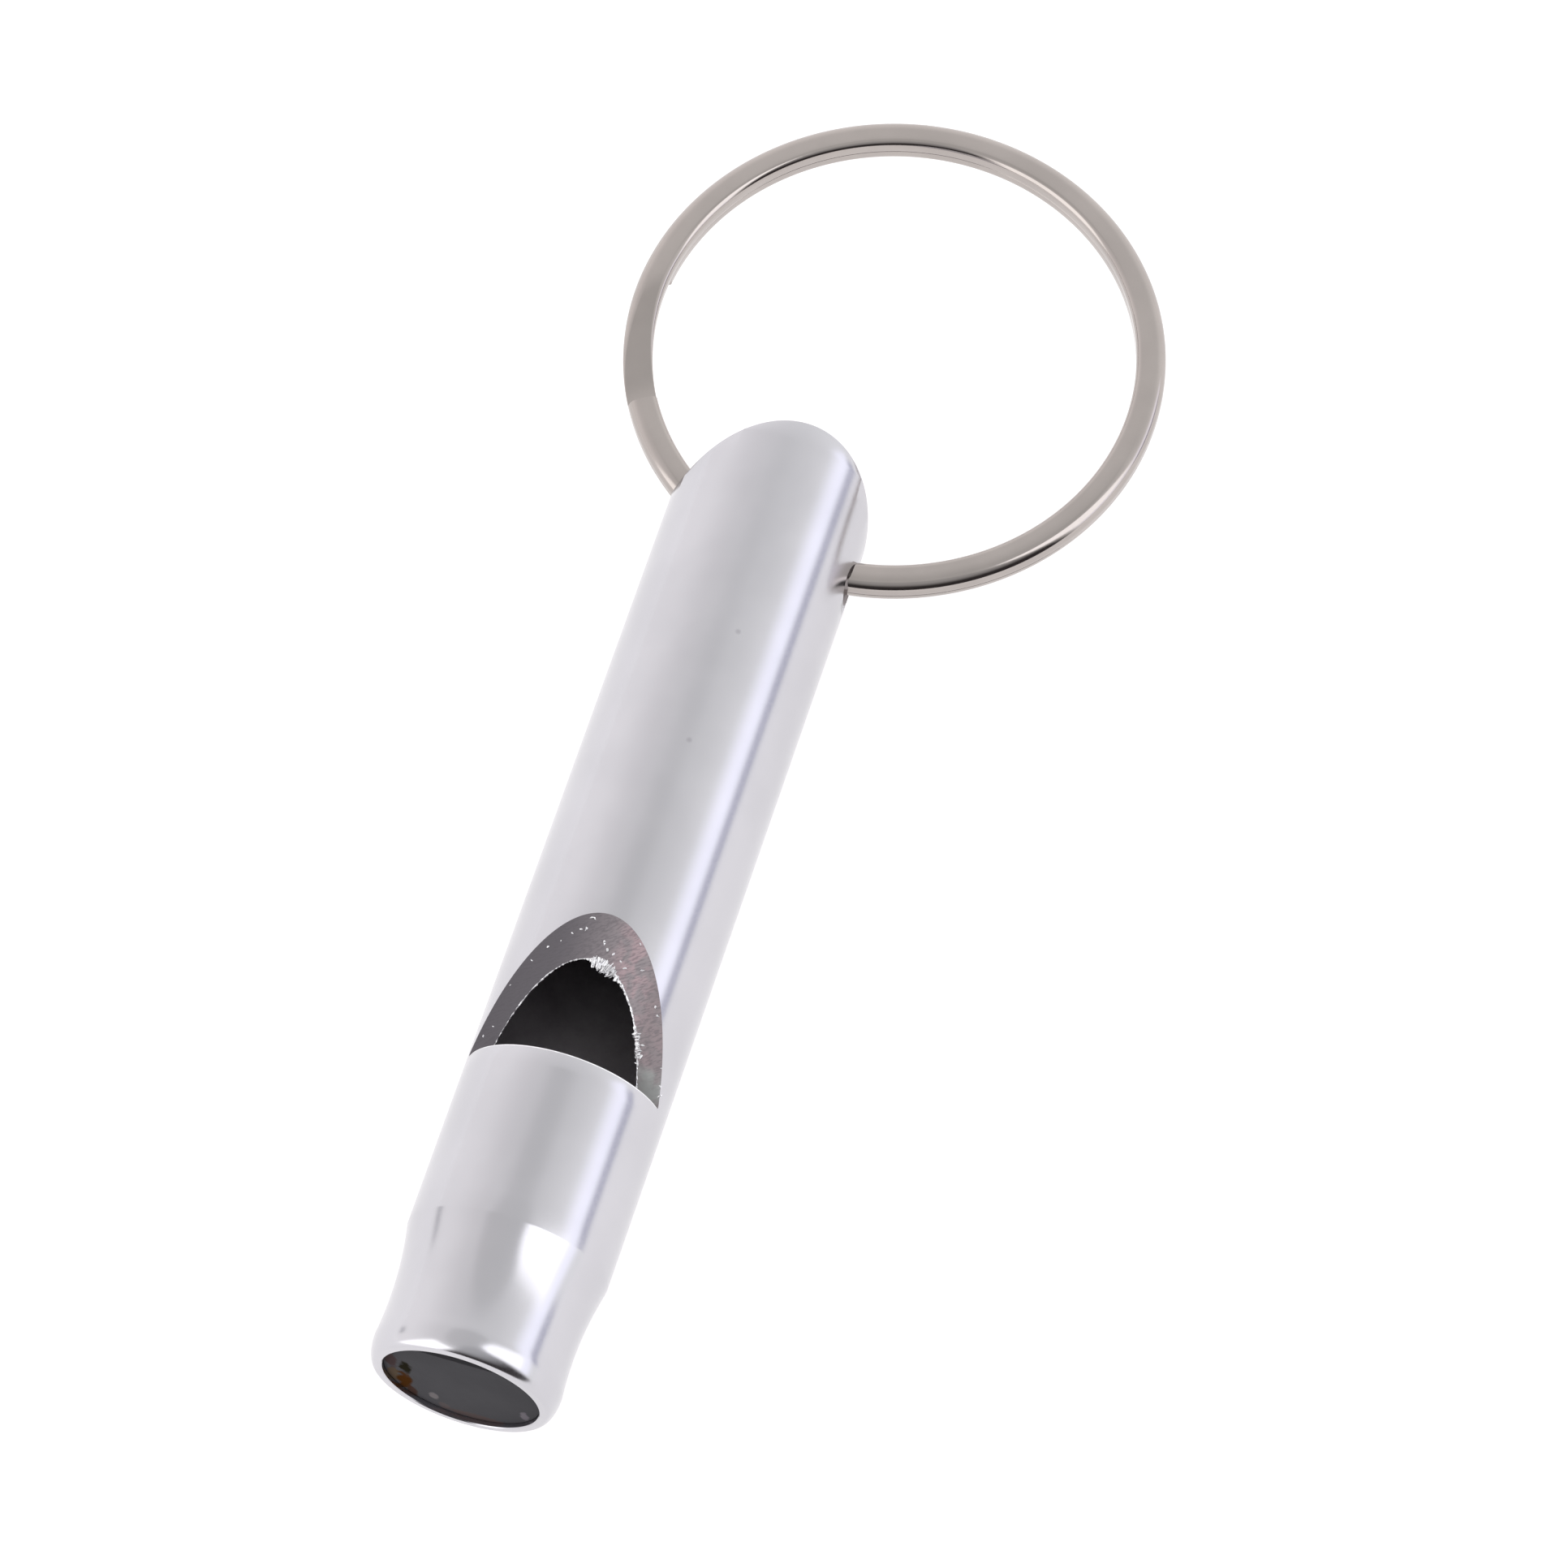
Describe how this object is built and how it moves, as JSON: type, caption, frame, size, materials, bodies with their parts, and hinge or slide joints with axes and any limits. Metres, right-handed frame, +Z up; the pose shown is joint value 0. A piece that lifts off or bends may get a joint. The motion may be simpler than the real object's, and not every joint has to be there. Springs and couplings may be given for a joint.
{
  "type": "tube whistle on a split ring",
  "caption": "Slim pealess tube whistle: necked mouthpiece, milled window with a sloped ramp, rounded cross-drilled tail that carries a split key ring.",
  "frame": {"origin": "centre of the bounding box's bottom face, on the surface that the whistle lies on", "axes": "+Y along the tube from the mouth to the tail and the ring, +Z up out of the window, +X to the right seen from above with the ring at the top"},
  "size_m": [0.0246, 0.0658, 0.009],
  "materials": {
    "satin_aluminium": "satin anodised, clear",
    "dark_plastic": "moulded, matte",
    "nickel_plate": "bright nickel plate on steel wire"
  },
  "bodies": {
    "whistle": {"whistle_body": "satin_aluminium", "fipple_plug": "dark_plastic"},
    "ring": {"split_ring": "nickel_plate"}
  },
  "joints": [
    {"name": "ring_swing", "type": "hinge", "parent": "whistle", "child": "ring", "pos_m": [-0.00292, 0.00992, 0.0045], "axis": [0.965, -0.2622, 0], "range_deg": [-164, 164]}
  ]
}
